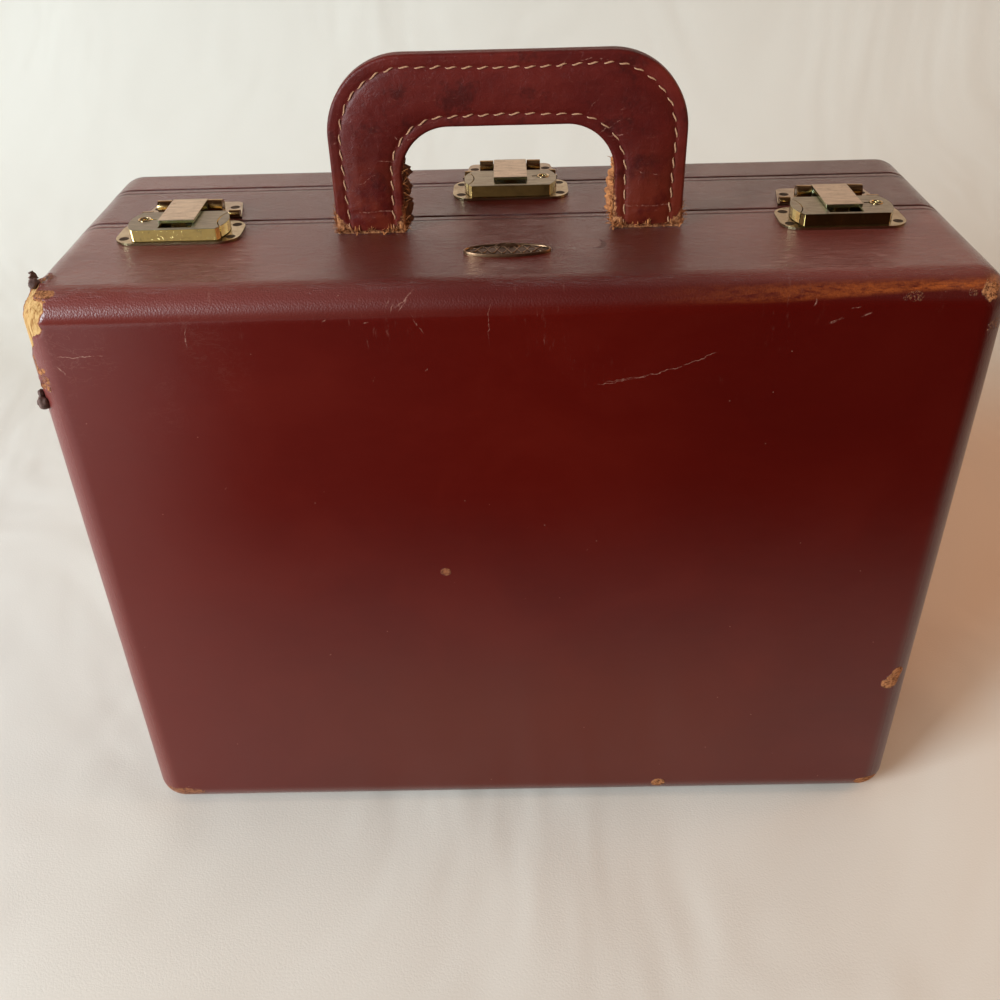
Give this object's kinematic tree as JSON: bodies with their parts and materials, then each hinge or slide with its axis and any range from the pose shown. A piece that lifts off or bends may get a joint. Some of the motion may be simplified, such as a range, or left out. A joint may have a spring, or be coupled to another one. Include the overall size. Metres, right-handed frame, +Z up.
{
  "type": "cosmetic train case",
  "caption": "Hard leather-covered train case in three hinged sections with a stitched top handle, hasp locks on the top face and an oval badge.",
  "frame": {"origin": "middle of the bottom face of the case", "axes": "+X along the case to the right seen from the front panel, +Y from the front panel to the back panel, +Z up to the handle"},
  "size_m": [0.38, 0.153, 0.3576],
  "materials": {
    "leather": "glossy, worn",
    "handle_leather": "satin, stitched",
    "lip_leather": "satin",
    "felt": "matte",
    "plywood": "raw",
    "lining": "matte",
    "bronze": "aged",
    "brass": "polished, worn",
    "dark_brass": "tarnished",
    "steel": "plain"
  },
  "bodies": {
    "main_case": {"main_leather": "leather", "main_frame": "plywood", "front_panel": "plywood", "main_lining": "lining", "main_lip": "lip_leather", "badge": "bronze", "handle_front_leather": "handle_leather", "handle_back_leather": "handle_leather", "handle_pad": "felt", "handle_frame": "steel", "handle_anchor_plates": "steel", "handle_nuts": "steel", "front_hinge_fixed_leaf": "brass", "front_hinge_pin": "steel", "main_hinge_screws": "steel", "left_lock_plate": "brass", "left_lock_case": "brass", "left_lock_nails": "dark_brass", "right_lock_plate": "brass", "right_lock_case": "brass", "right_lock_nails": "dark_brass"},
    "middle_section": {"middle_leather": "leather", "middle_frame": "plywood", "divider_panel": "plywood", "middle_lining": "lining", "middle_lip": "lip_leather", "front_hinge_swing_leaf": "brass", "back_hinge_fixed_leaf": "brass", "back_hinge_pin": "steel", "middle_hinge_screws": "steel", "left_hasp_plate": "brass", "left_hasp_nails": "dark_brass", "left_lever_pin": "steel", "right_hasp_plate": "brass", "right_hasp_nails": "dark_brass", "right_lever_pin": "steel", "middle_lock_plate": "brass", "middle_lock_case": "brass", "middle_lock_nails": "dark_brass"},
    "back_cover": {"back_leather": "leather", "back_frame": "plywood", "back_panel": "plywood", "back_lining": "lining", "back_hinge_swing_leaf": "brass", "back_hinge_screws": "steel", "middle_hasp_plate": "brass", "middle_hasp_nails": "dark_brass", "middle_lever_pin": "steel"},
    "left_hasp_lever": {"left_lever": "brass", "left_lever_hook": "brass"},
    "left_release_slide": {"left_release": "brass"},
    "right_hasp_lever": {"right_lever": "brass", "right_lever_hook": "brass"},
    "right_release_slide": {"right_release": "brass"},
    "middle_hasp_lever": {"middle_lever": "brass", "middle_lever_hook": "brass"},
    "middle_release_slide": {"middle_release": "brass"}
  },
  "joints": [
    {"name": "middle_section_hinge", "type": "hinge", "parent": "main_case", "child": "middle_section", "pos_m": [0, 0.0015, 0.0026], "axis": [-1, 0, 0], "range_deg": [0, 100]},
    {"name": "back_cover_hinge", "type": "hinge", "parent": "middle_section", "child": "back_cover", "pos_m": [0, 0.0455, 0.0026], "axis": [-1, 0, 0], "range_deg": [0, 100]},
    {"name": "left_lever_hinge", "type": "hinge", "parent": "middle_section", "child": "left_hasp_lever", "pos_m": [-0.138, 0.0075, 0.2928], "axis": [-1, 0, 0], "range_deg": [0, 100]},
    {"name": "right_lever_hinge", "type": "hinge", "parent": "middle_section", "child": "right_hasp_lever", "pos_m": [0.138, 0.0075, 0.2928], "axis": [-1, 0, 0], "range_deg": [0, 100]},
    {"name": "middle_lever_hinge", "type": "hinge", "parent": "back_cover", "child": "middle_hasp_lever", "pos_m": [0.001, 0.053, 0.2928], "axis": [-1, 0, 0], "range_deg": [0, 100]},
    {"name": "left_release_slider", "type": "slide", "parent": "main_case", "child": "left_release_slide", "axis": [1, 0, 0], "range_m": [0, 0.003], "stiffness_N_per_m": 200, "springref_m": -0.001},
    {"name": "right_release_slider", "type": "slide", "parent": "main_case", "child": "right_release_slide", "axis": [-1, 0, 0], "range_m": [0, 0.003], "stiffness_N_per_m": 200, "springref_m": -0.001},
    {"name": "middle_release_slider", "type": "slide", "parent": "middle_section", "child": "middle_release_slide", "axis": [-1, 0, 0], "range_m": [0, 0.003], "stiffness_N_per_m": 200, "springref_m": -0.001}
  ]
}
